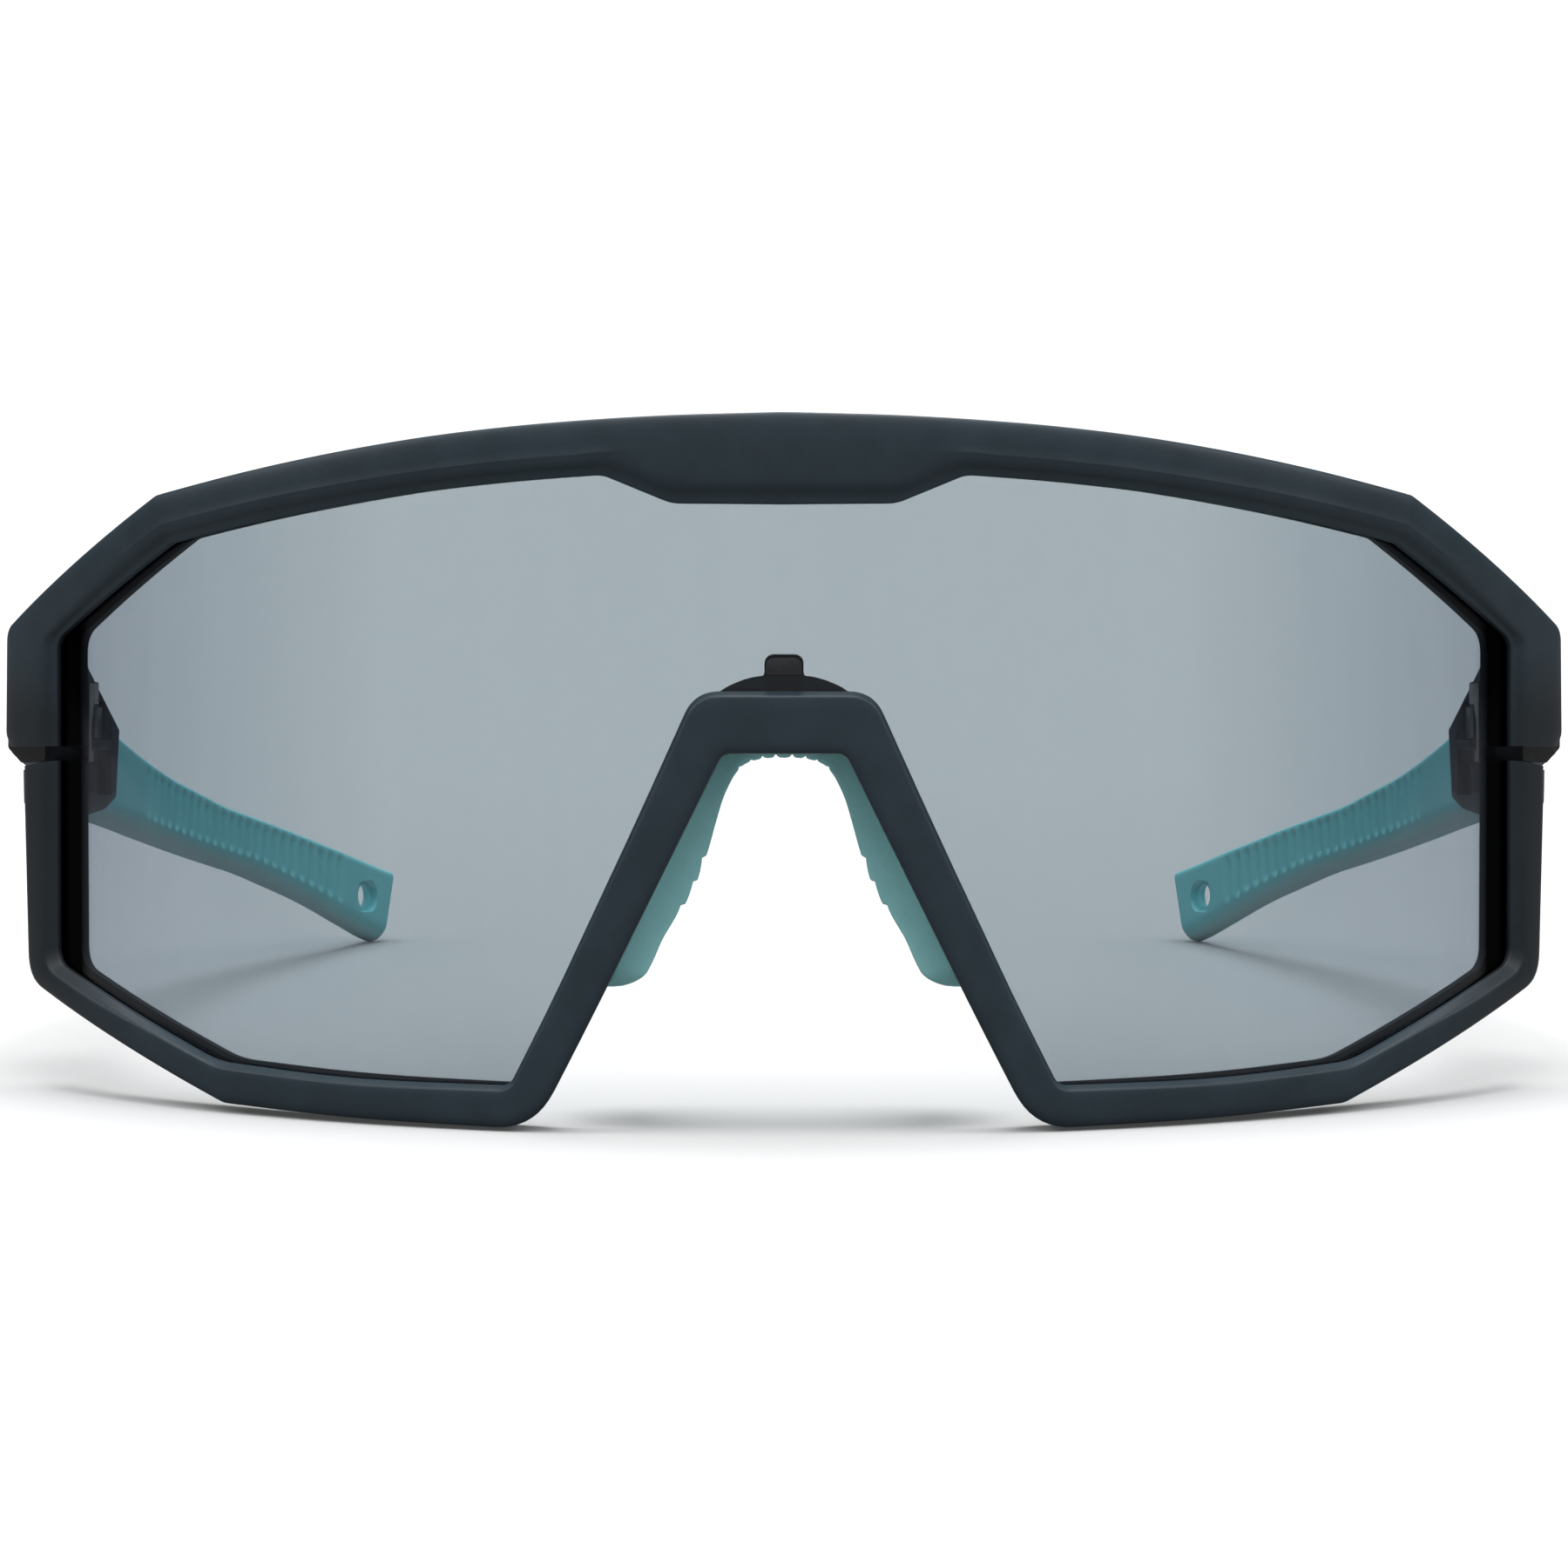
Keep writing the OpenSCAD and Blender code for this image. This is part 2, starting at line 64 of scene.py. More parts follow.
# ---------------------------------------------------------------------
# Camera: level with the glasses' own frame, 450 mm in front of the brow
# ---------------------------------------------------------------------
cam_data = bpy.data.cameras.new("camera")
cam = bpy.data.objects.new("camera", cam_data)
bpy.context.scene.collection.objects.link(cam)
cam.location = stand([0, -450, 0])
cam.rotation_euler = (math.pi / 2 - LEAN, 0, 0)
cam_data.sensor_width = 36
cam_data.lens = 6149 / 1800 * 36
cam_data.clip_start = 0.01
cam_data.clip_end = 100
bpy.context.scene.camera = cam


# ---------------------------------------------------------------------
# Mesh helpers
# ---------------------------------------------------------------------
def new_object(name, me):
    ob = bpy.data.objects.new(name, me)
    bpy.context.scene.collection.objects.link(ob)
    return ob


def tidy(me, sharp=32):
    bm = bmesh.new()
    bm.from_mesh(me)
    bmesh.ops.remove_doubles(bm, verts=bm.verts, dist=2e-7)
    bmesh.ops.dissolve_degenerate(bm, edges=bm.edges, dist=1e-7)
    bmesh.ops.recalc_face_normals(bm, faces=bm.faces)
    bm.to_mesh(me)
    bm.free()
    me.shade_smooth()
    me.set_sharp_from_angle(angle=math.radians(sharp))


def mesh_object(name, verts, faces, sharp=32, leaned=True):
    v = stand(verts) if leaned else np.asarray(verts) * 0.001
    me = bpy.data.meshes.new(name)
    me.from_pydata([tuple(float(c) for c in q) for q in v], [], faces)
    tidy(me, sharp)
    return new_object(name, me)


def loft(rings, caps=True):
    k, m = len(rings), len(rings[0])
    verts = np.concatenate([np.asarray(r, float) for r in rings])
    faces = []
    for i in range(k - 1):
        a, b = i * m, (i + 1) * m
        faces += [(a + j, a + (j + 1) % m, b + (j + 1) % m, b + j) for j in range(m)]
    if caps:
        faces += [tuple(range(m - 1, -1, -1)), tuple((k - 1) * m + j for j in range(m))]
    return verts, faces


def applied(ob):
    dg = bpy.context.evaluated_depsgraph_get()
    me = bpy.data.meshes.new_from_object(ob.evaluated_get(dg))
    ob.modifiers.clear()
    old = ob.data
    ob.data = me
    bpy.data.meshes.remove(old)
    return ob


def boolean(ob, other, op="DIFFERENCE", keep=False):
    m = ob.modifiers.new("cut", "BOOLEAN")
    m.operation = op
    m.object = other
    m.solver = "EXACT"
    applied(ob)
    if not keep:
        bpy.data.objects.remove(other)
    return ob


def bevel(ob, width, segments=2, angle=30, sharp=40):
    m = ob.modifiers.new("edges", "BEVEL")
    m.width = width * 0.001
    m.segments = segments
    m.limit_method = "ANGLE"
    m.angle_limit = math.radians(angle)
    m.use_clamp_overlap = True
    m.miter_outer = "MITER_ARC"
    applied(ob)
    tidy(ob.data, sharp)
    return ob


def prism(name, outline, axis, a, b, leaned=True):
    """A closed extrusion of an outline along an axis from a to b, in the glasses' frame."""
    n = len(outline)
    pts = []
    for t in (a, b):
        for u, v in outline:
            pts.append({"x": (t, u, v), "y": (u, t, v), "z": (u, v, t)}[axis])
    faces = [tuple(range(n)), tuple(range(2 * n - 1, n - 1, -1))]
    faces += [(i, (i + 1) % n, n + (i + 1) % n, n + i) for i in range(n)]
    return mesh_object(name, np.array(pts, float), faces, leaned=leaned)


def mirrored(ob, name):
    me = ob.data.copy()
    me.name = name
    v = np.empty(len(me.vertices) * 3)
    me.vertices.foreach_get("co", v)
    v[0::3] *= -1
    me.vertices.foreach_set("co", v)
    me.flip_normals()
    me.update()
    return new_object(name, me)


def rounded(poly, radii, k):
    """A closed 2D outline with its corners rounded over, k steps each."""
    out = []
    m = len(poly)
    poly = [np.asarray(q, float) for q in poly]
    for i in range(m):
        a, p, b = poly[i - 1], poly[i], poly[(i + 1) % m]
        r = radii[i]
        la, lb = np.linalg.norm(a - p), np.linalg.norm(b - p)
        t = min(r, 0.45 * la, 0.45 * lb)
        f, g = p + (a - p) * t / la, p + (b - p) * t / lb
        for j in range(k + 1):
            w = j / k
            out.append(f * (1 - w) ** 2 + p * 2 * w * (1 - w) + g * w * w)
    return np.array(out)


# ---------------------------------------------------------------------
# The front, drawn flat and wrapped onto the lens cylinder
# ---------------------------------------------------------------------
LENS_R, LENS_T, PLAY, FACE_H = 86.0, 2.2, 0.12, 1.4
AXIS_Y = LENS_R + FACE_H
INNER_H = LENS_T + PLAY
BACK_H = INNER_H + 0.9
BIG = 1e5

BROW = [
    [0, 31.3, 0, 0, 23.55, 0, 2.6, 0.15],
    [9.2, 31.1, BIG, 9.5, 23.65, 4, 2.6, 0.15],
    [14.8, 30.85, BIG, 15.4, 26.1, 3, 2.6, 0.25],
    [22.2, 30.4, BIG, 22.3, 25.7, BIG, 2.6, 0.35],
    [30, 29.7, BIG, 30, 25.05, BIG, 2.6, 0.35],
    [38, 28.7, BIG, 38.3, 24.05, BIG, 2.6, 0.35],
    [46.8, 27.4, BIG, 47.2, 22.85, BIG, 2.6, 0.35],
    [59, 25.35, 1.8, 57.4, 21.15, 1.8, 2.6, 0.5],
    [81.3, 14, 1.8, 73.35, 12.9, 1.8, 3.05, 0.6],
    [81.45, 4.5, 1, 73.35, 4.4, 1, 3.05, 0.55],
    [80.6, 3.4, 0, 73.35, 3.4, 0, 3.05, 0.55],
]
RIM = [
    [77.9, 1.6, 0, 73.35, 2.1, 0, 3.05, 0.5],
    [77.9, -1, 20, 73.35, -1, 20, 3.05, 0.5],
    [77.1, -17.5, 3.5, 73.3, -15.9, 2, 3.05, 0.4],
    [51, -27.7, 3, 52.3, -24.1, 11, 1.9, -0.1],
    [38, -28.6, BIG, 38.3, -25.3, BIG, 1.8, -0.3],
    [21.1, -29.2, 5.5, 23.4, -25.55, 1.4, 1.8, -0.1],
    [16.2, -19.85, BIG, 19.6, -18.2, BIG, 2.2, 0],
    [9, -5.3, BIG, 12.7, -3.7, BIG, 2.2, 0],
    [5.15, 2.55, 1.2, 7.5, 7.8, 3.2, 1.9, 0],
    [0, 2.55, 0, 0, 7.8, 0, 1.9, 0],
]


def wrap(s, z, h):
    a = s / LENS_R
    return np.array([(LENS_R + h) * np.sin(a), AXIS_Y - (LENS_R + h) * np.cos(a), z])


def bend(a, p, b, r, k):
    la, lb = np.linalg.norm(a[:2] - p[:2]), np.linalg.norm(b[:2] - p[:2])
    u, v = (a[:2] - p[:2]) / la, (b[:2] - p[:2]) / lb
    half = math.degrees(math.acos(max(-1, min(1, float(u @ v))))) / 2
    t = min(max(0.3, 0 if half > 89.9 and r < BIG else r / math.tan(math.radians(min(half, 89.99)))), 0.45 * la, 0.45 * lb)
    f, g = p + (a - p) * t / la, p + (b - p) * t / lb
    return [f * (1 - w) ** 2 + p * 2 * w * (1 - w) + g * w * w for w in np.linspace(0, 1, k + 1)]


def path(pts, radii, k, n):
    m = len(pts)
    corner = [[pts[i]] if i in (0, m - 1) else bend(pts[i - 1], pts[i], pts[i + 1], radii[i], k) for i in range(m)]
    out = []
    for i in range(m):
        out += corner[i]
        if i < m - 1:
            a, b = corner[i][-1], corner[i + 1][0]
            out += [a + (b - a) * j / n[i] for j in range(1, n[i])]
    return np.array(out)


def halves(rows, k, step):
    rows = np.array(rows, float)
    n = [max(1, math.ceil(max(np.linalg.norm(b[:2] - a[:2]), np.linalg.norm(b[3:5] - a[3:5])) / step))
         for a, b in zip(rows[:-1], rows[1:])]
    outer = path([r[:2] for r in rows], [r[2] for r in rows], k, n)
    lip = path([r[[3, 4, 6, 7]] for r in rows], [r[5] for r in rows], k, n)
    return outer, lip


def both(half, brow):
    flip = half[::-1].copy()
    flip[:, 0] *= -1
    return np.concatenate([flip[:-1], half]) if brow else np.concatenate([half, flip[1:]])


def normals(p):
    a = np.concatenate([p[:1], p[:-1]])[:, :2]
    b = np.concatenate([p[1:], p[-1:]])[:, :2]
    d = b - a
    d /= np.linalg.norm(d, axis=1)[:, None]
    return np.stack([-d[:, 1], d[:, 0]], 1)


def groove(o, l, n):
    return min(l[2], float((o - l[:2]) @ n) - 0.95)


def depth_at(s):
    t = max(0, min(1, (abs(s) - 48) / 34))
    return 4.4 + (2.5 - 4.4) * t


# Front profiles: (distance from the lip, height) and (distance from the outer edge, height)
BROW_IN = [(0, .12), (0, .5), (.03, .57), (.1, .61), (.25, .635), (.45, .66), (.62, .70), (.78, .78), (.92, .90),
           (1.05, 1.02), (1.2, 1.14), (1.36, 1.235), (1.55, 1.31), (1.8, 1.36), (2.1, 1.385)]
BROW_OUT = [(2.8, 1.39), (2.1, 1.375), (1.55, 1.35), (1.1, 1.315), (.75, 1.27), (.46, 1.215), (.25, 1.15), (.1, 1.08),
            (.02, 1.0), (0, .9)]
RIM_IN = [(0, .12), (0, .46), (.03, .53), (.09, .59), (.3, .77), (.55, .985), (.78, 1.18), (.9, 1.26), (1.05, 1.325),
          (1.25, 1.37), (1.5, 1.39)]
RIM_OUT = [(1.1, 1.4), (.75, 1.385), (.5, 1.35), (.3, 1.295), (.15, 1.22), (.05, 1.12), (.01, 1.02), (0, .9)]


def section(o, l, n, brow):
    p = l[:2]
    d = np.linalg.norm(o - p)
    u = (o - p) / d
    g = groove(o, l, n)
    w = float((o - p) @ n) - g
    inn, out = (BROW_IN, BROW_OUT) if brow else (RIM_IN, RIM_OUT)
    e_in, e_out = inn[-1][0], d - out[0][0]
    if brow:
        f = 0.8 + 0.25 * max(0, min(1, (17 - abs(p[0])) / 4))
        inn = [(e * f, h) for e, h in inn]
        e_in = inn[-1][0]
    else:
        f = 0.42 + 0.58 * max(0, min(1, (abs(p[0]) - 60) / 12))
        inn = [(e * f, h) for e, h in inn]
        e_in = inn[-1][0]
    if e_out < e_in + 0.2:
        k = (d - 0.2) / (inn[-1][0] + out[0][0])
        inn = [(e * k, h) for e, h in inn]
        out = [(f * k, h) for f, h in out]
        e_in, e_out = inn[-1][0], d - out[0][0]
    mid = [(e_in + (e_out - e_in) * t, inn[-1][1] + (out[0][1] - inn[-1][1]) * t + 0.02 * math.sin(math.pi * t))
           for t in (.25, .5, .75)]
    pts = [wrap(*(p + u * e), h) for e, h in inn + mid] + [wrap(*(p + u * (d - f)), h) for f, h in out]
    dep = depth_at(o[0])
    rear = wrap(*o, 1.0)
    far = wrap(*(o - u * 0.3), 1.0)
    h2 = g + min(0.8, 0.45 * w)
    pts += [rear + [0, dep - 0.3, 0], rear + [0, dep - 0.09, 0] + (far - rear) * 0.3, far + [0, dep, 0]]
    pts += [wrap(*(p + n * h2), -BACK_H), wrap(*(p + n * (l[3] + 0.25)), -BACK_H),
            wrap(*(p + n * (l[3] + 0.07)), -BACK_H + 0.07), wrap(*(p + n * l[3]), -BACK_H + 0.25),
            wrap(*(p + n * l[3]), -INNER_H), wrap(*(p + n * g), -INNER_H), wrap(*(p + n * g), PLAY)]
    return np.array(pts)


CORNER, EDGE = 9, 1.3
brow_outer, brow_lip = [both(h, True) for h in halves(BROW, CORNER, EDGE)]
rim_outer, rim_lip = [both(h, False) for h in halves(RIM, CORNER, EDGE)]


def frame_piece(name, outer, lip, brow):
    nn = normals(lip)
    rings = [section(outer[i], lip[i], nn[i], brow) for i in range(len(outer))]
    v, f = loft(rings)
    return mesh_object(name, v, f, sharp=38)


upper = frame_piece("upper_frame_shell", brow_outer, brow_lip, True)
lower = frame_piece("lower_frame_shell", rim_outer, rim_lip, False)
for ob, body in ((upper, "upper_frame"), (lower, "lower_frame")):
    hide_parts(body)
    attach(ob, body)

# ---------------------------------------------------------------------
# Lens
# ---------------------------------------------------------------------
SIDE_S = 73.35 + 3.05 - 0.15


def lens_edge(outer, lip, top):
    nn = normals(lip)
    e = np.array([lip[i][:2] + nn[i] * (groove(outer[i], lip[i], nn[i]) - 0.15) for i in range(len(lip))])
    if not top:
        e = e[::-1]
    out = np.abs(e[:, 0]) >= SIDE_S - 0.02
    z = e[out][:, 1].max() if top else e[out][:, 1].min()
    mid = e[~out]
    return np.concatenate([[[-SIDE_S, z]], mid, [[SIDE_S, z]]])


top_e, low_e = lens_edge(brow_outer, brow_lip, True), lens_edge(rim_outer, rim_lip, False)
cols = np.sort(np.concatenate([top_e[:, 0], low_e[:, 0], np.linspace(-SIDE_S, SIDE_S, 160)]))
keep = [cols[0]]
for q in cols[1:]:
    if q - keep[-1] > 0.12:
        keep.append(q)
keep[-1] = SIDE_S
cols = np.array(keep)
ring_pts = []
for s in cols:
    lo, hi = np.interp(s, low_e[:, 0], low_e[:, 1]), np.interp(s, top_e[:, 0], top_e[:, 1])
    zs = np.linspace(lo + 0.25, hi - 0.25, 16)
    ring_pts.append(np.array([wrap(s, z, 0) for z in zs]
                             + [wrap(s, hi - .07, -.07), wrap(s, hi, -.25), wrap(s, hi, -LENS_T + .25), wrap(s, hi - .07, -LENS_T + .07)]
                             + [wrap(s, z, -LENS_T) for z in zs[::-1]]
                             + [wrap(s, lo + .07, -LENS_T + .07), wrap(s, lo, -LENS_T + .25), wrap(s, lo, -.25), wrap(s, lo + .07, -.07)]))
lens_v, lens_f = loft(ring_pts)
lens = mesh_object("lens_shield", lens_v, lens_f, sharp=30)


def tab_outline(g, top, k=6):
    """Outline of the clip's tab with rounded upper corners, grown by g."""
    w, r = 1.55 + g, 0.72 + 0.5 * g
    arc = [(w - r + r * math.cos(a), top - r + r * math.sin(a)) for a in np.linspace(0, math.pi / 2, k)]
    pts = [(w, 9.17)] + arc
    return pts + [(-x, z) for x, z in pts[::-1]]


boolean(lens, prism("slot", tab_outline(0.1, 10.97), "y", -1, 9))
tidy(lens.data, 30)
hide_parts("lens")
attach(lens, "lens")

# ---------------------------------------------------------------------
# Nose piece
# ---------------------------------------------------------------------
PAD = np.array([[0, 2.2, 2.6, 0], [1.3, 2.15, 2.6, 0], [2.3, 1.98, 2.6, 0], [3.3, 1.6, 2.7, 0], [3.95, 0.95, 2.75, 0],
                [4.45, 0.15, 2.8, 0], [5.1, -1.3, 2.9, 0], [5.7, -3.3, 3, 0], [6.4, -5.8, 3.1, 0], [7.25, -8.2, 3.2, 0],
                [8.6, -10.8, 3.2, 0], [10.1, -13, 3.1, 8], [11.15, -15.3, 3, 16], [12.3, -17.4, 2.7, 28]], float)
flip = PAD[::-1][:-1].copy()
flip[:, 0] *= -1
PAD_RUN = np.concatenate([flip, PAD])


def fine_run(rows, n):
    """Catmull-Rom through the rows, at n even steps of length."""
    k = len(rows)
    ext = np.concatenate([[2 * rows[0] - rows[1]], rows, [2 * rows[-1] - rows[-2]]])
    dense = []
    for i in range(k - 1):
        p0, p1, p2, p3 = ext[i:i + 4]
        for t in np.linspace(0, 1, 24, endpoint=False):
            dense.append(0.5 * (2 * p1 + (p2 - p0) * t + (2 * p0 - 5 * p1 + 4 * p2 - p3) * t * t
                                + (3 * p1 - p0 - 3 * p2 + p3) * t ** 3))
    dense.append(rows[-1])
    dense = np.array(dense)
    length = np.concatenate([[0], np.cumsum(np.linalg.norm(np.diff(dense[:, :2], axis=0), axis=1))])
    even = np.linspace(0, length[-1], n)
    return np.stack([np.interp(even, length, dense[:, c]) for c in range(dense.shape[1])], 1), even


pad_rows, pad_len = fine_run(PAD_RUN, 640)
pad_n = normals(pad_rows)


NOTCH_X = [0.7, 1.79, 2.76, 3.68]
NOTCH_Z = [-4.0, -6.43, -8.5, -10.55]


def scales(x, z):
    """How far the inner side is cut back: rounded teeth over the bridge, scales down the wings."""
    x = abs(x)
    if z > 0.8 and x < 4.3:
        edges = [-NOTCH_X[0]] + NOTCH_X + [4.4]
        for k, (a, b) in enumerate(zip(edges[:-1], edges[1:])):
            if a <= x <= b:
                u = abs(2 * (x - a) / (b - a) - 1)
                deep = [0.34, 0.27 + 0.07 * (x < (a + b) / 2), 0.2 + 0.07 * (x < (a + b) / 2), 0.17, 0.13][k]
                return deep * u ** 4 * (1 if k < 4 else 1 - u * (x > (a + b) / 2))
    for a, b in zip(NOTCH_Z[:-1], NOTCH_Z[1:]):
        if b < z <= a:
            q = (a - z) / (a - b)
            rise = 0.32 * (1 - q) ** 1.6
            hook = 0.32 * max(0, (q - 0.86) / 0.14) ** 1.5
            return max(rise, hook) if a < -4.5 else hook
    if z <= NOTCH_Z[-1]:
        return 0.32 * max(0, 1 - (NOTCH_Z[-1] - z) / 2.2) ** 1.6
    return 0.0


rings = []
for i in range(len(pad_rows)):
    x, z, t, turn = pad_rows[i]
    n = pad_n[i]
    a = math.radians(turn)
    n = np.array([n[0] * math.cos(a) + abs(n[1]) * math.sin(a) * np.sign(n[0]), n[1] * math.cos(a) - abs(n[0]) * math.sin(a)])
    w = min(1, abs(x) / 6)
    back, out = 14.5 + 3 * w, 0.6 + 1.7 * w
    poly = [(0, 7.4), (t, 7.4), (t + out, back - 0.6), (t + out - 0.8, back), (out + 0.5, back), (out, back - 0.8)]
    sec = rounded(poly, [0.6, 0.6, 0.5, 0.5, 0.5, 0.5], 4)
    # more points down the inner side
    inner_a, inner_b = sec[-1], sec[0]
    extra = [inner_a + (inner_b - inner_a) * q for q in np.linspace(0, 1, 12)[1:-1]]
    sec = np.concatenate([sec, extra])
    side = np.clip(1 - (sec[:, 0] - np.interp(sec[:, 1], [7.4, back - 0.8], [0, out])) / 0.55, 0, 1)
    bulge = 0.22 * np.sin(np.pi * np.clip((sec[:, 1] - 7.4) / (back - 7.4), 0, 1))
    sec[:, 0] += side * scales(x, z) * np.clip((back - sec[:, 1]) / 1.2, 0, 1)
    sec[:, 0] -= side * bulge * 0.35
    # rounded ends of the wings
    end = min(pad_len[i], pad_len[-1] - pad_len[i])
    if end < 1.6:
        c = np.array([(t + 2 * out) / 2, (7.4 + back) / 2])
        k = math.sqrt(max(0.0, 1 - ((1.6 - end) / 1.6) ** 2))
        sec = c + (sec - c) * [max(0.02, 1 - 1.1 * (1 - k) / (t / 2 + 0.4)), 1 - 0.3 * (1 - k)]
    rings.append(np.stack([x + n[0] * sec[:, 0], sec[:, 1], z + n[1] * sec[:, 0]], 1))
v, f = loft(rings)
pad = mesh_object("nose_pad_saddle", v, f, sharp=50)
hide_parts("nose_pad")
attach(pad, "nosepiece")

# Clip: plate behind the arch, step, tab and spine
ARC_X, ARC_Z = [1.6, 2.6, 3.5, 4.4, 5.35, 6.2], [9.21, 9.07, 8.82, 8.46, 7.95, 7.35]
arc = [(x, np.interp(x, ARC_X, ARC_Z)) for x in np.linspace(1.65, 5.6, 12)]
plate_right = [(7.4, 3.0), (7.3, 4.6), (7.0, 5.9), (6.3, 7.2)] + arc[::-1]
plate = [(x, z) for x, z in plate_right] + [(-x, z) for x, z in plate_right[::-1]]
clip = prism("nose_clip_black", plate, "y", 5.2, 7.2)
step_right = [(5.1, 8.1)] + [(x, z) for x, z in arc[::-1] if z > 8.16]
step = prism("step", [(x, z) for x, z in step_right] + [(-x, z) for x, z in step_right[::-1]], "y", 3.8, 5.3)
boolean(clip, step, "UNION")
boolean(clip, prism("tab", tab_outline(0, 10.62), "y", 0.78, 6.6), "UNION")
boolean(clip, prism("tab_shoulder", tab_outline(0.1, 10.97), "y", 3.8, 5.15), "UNION")
# Small fillets where the shoulder stands on the clip's arc
for sx in (1, -1):
    fil = [(1.5, 8.9), (2.3, 8.88)] + [(2.2 - 0.55 * math.sin(a), 9.55 - 0.55 * math.cos(a))
                                       for a in np.linspace(0.15, math.pi / 2, 6)] + [(1.5, 9.55)]
    boolean(clip, prism("fillet", [(sx * x, z) for x, z in fil], "y", 3.85, 5.1), "UNION")
boolean(clip, prism("spine", [(-3.2, 3.1), (3.2, 3.1), (3.2, 4.3), (-3.2, 4.3)], "y", 7.0, 13.0), "UNION")
bevel(clip, 0.14, 3, 32)
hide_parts("nose_clip")
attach(clip, "nosepiece")

# ---------------------------------------------------------------------
# Temple sleeves
# ---------------------------------------------------------------------
TH = [[50, 3.3], [60, 3.6], [70, 3.9], [80, 4], [100, 3.8], [130, 3.4], [146, 2.5], [150, 2.4], [162, 2.4]]
TOP = [[50, 10.7], [60, 8.6], [70, 6.5], [81, 4.2], [90, 2.3], [98.5, 0.6], [107, -0.8],
       [115, -2.3], [125, -3.7], [134.5, -5.2], [147, -7.5], [158.8, -10], [160, -10.3]]
LOW = [[60, -3], [73, -3.2], [85, -4.4], [98.5, -6.1], [111, -7.8], [125, -9.7], [140, -13], [150, -16], [156.4, -17.9], [158, -18.4]]


def smooth_table(rows, width):
    """The table as a function, averaged over a width so that it has no kinks."""
    rows = np.array(rows, float)
    offs = np.linspace(-width / 2, width / 2, 9)
    return lambda y: float(np.mean([np.interp(y + o, rows[:, 0], rows[:, 1]) for o in offs]))


thick, top_z, low_z = smooth_table(TH, 8), smooth_table(TOP, 6), smooth_table(LOW, 8)


def inner_x(y):
    return 67.5 - 0.00178 * (y - 45) ** 2


def ribs(y):
    """Depth of the grooves across the inner side."""
    first, last, count = 88.6, 147.4, 24
    if not first < y < last:
        return 0.0
    t = (y - first) / (last - first)
    g = 0.5 - 0.5 * math.cos(2 * math.pi * t * count)
    ease = min(1, (y - first) / 7, (last - y) / 4)
    return 0.58 * g ** 1.8 * (0.35 + 0.65 * ease)


n_run = 620
rings = []
for i in range(n_run):
    v_ = i / (n_run - 1)
    yt, yb = 74.0 + (159.7 - 74.0) * v_, 70.1 + (157.3 - 70.1) * v_
    zt, zb = top_z(yt), low_z(yb)
    if i == 0:
        zt, zb = 5.97, -3.15
    hgt = math.hypot(yt - yb, zt - zb)
    th = thick((yt + yb) / 2)
    # section: a across the thickness from the inner face, b up from the lower edge
    poly = [(0, 1.35), (0, hgt), (th, hgt), (th, 0), (0.95, 0)]
    sec = rounded(poly, [1.1, 0.7, 0.9, 1.0, 1.1], 5)
    # points up the inner face, where the ribs are
    a0, a1 = sec[5], sec[6]
    extra = [a0 + (a1 - a0) * q for q in np.linspace(0, 1, 22)[1:-1]]
    sec = np.concatenate([sec[:6], extra, sec[6:]])
    end = (1 - v_) * 87
    if end < 0.8:
        c = np.array([th / 2, hgt / 2])
        k = math.sqrt(max(0.0, 1 - ((0.8 - end) / 0.8) ** 2))
        inset = 0.8 * (1 - k)
        sx, sz = max(0.02, (th - 2 * inset * 0.8) / th), max(0.02, (hgt - 2 * inset) / hgt)
        sec = c + (sec - c) * [sx, sz]
    start = v_ * 87
    inset = 0.16 * max(0, 1 - start / 0.3)
    pts = []
    for a, b in sec:
        q = b / hgt
        y, z = yb + (yt - yb) * q, zb + (zt - zb) * q
        x = inner_x(y) + a
        if inset:
            x += inset if a < th / 2 else -inset
            z += inset if q < 0.5 else -inset
        on_face = max(0, 1 - a / 0.35)
        fade = min(1, max(0, (b - 1.5) / 0.8)) * min(1, max(0, (hgt - 0.55 - b) / 0.6))
        x += ribs(y) * on_face * fade
        pts.append((x, y, z))
    rings.append(np.array(pts))
v, f = loft(rings)
sleeve = mesh_object("temple_sleeve_rubber_left", v, f, sharp=45)

# Cord hole: a round hole in a thin web between two oblong recesses
HOLE_Y, HOLE_Z, HOLE_R, RECESS_R = 153.6, -12.6, 1.3, 1.65
turn = math.atan(2 * 0.00178 * (HOLE_Y - 45))
hole_x = inner_x(HOLE_Y) + thick(HOLE_Y) / 2


def hole_tool(x0, x1, y0, y1, r, r1=None, k=28):
    """A closed oblong prism across the tip, from x0 to x1, widening to r1."""
    r1 = r1 or r
    rings_ = []
    for xx, rr in ((x0, r), (x1, r1)):
        ring = []
        for j in range(k):
            a = 2 * math.pi * j / k
            cy = y1 if math.cos(a) >= 0 else y0
            ring.append((xx, cy + rr * math.cos(a), rr * math.sin(a)))
        rings_.append(np.array(ring))
    v_, f_ = loft(rings_)
    c, s = math.cos(turn), math.sin(turn)
    w_ = np.stack([hole_x + v_[:, 0] * c - v_[:, 1] * s, HOLE_Y + v_[:, 0] * s + v_[:, 1] * c, HOLE_Z + v_[:, 2]], 1)
    return mesh_object("tool", w_, f_)


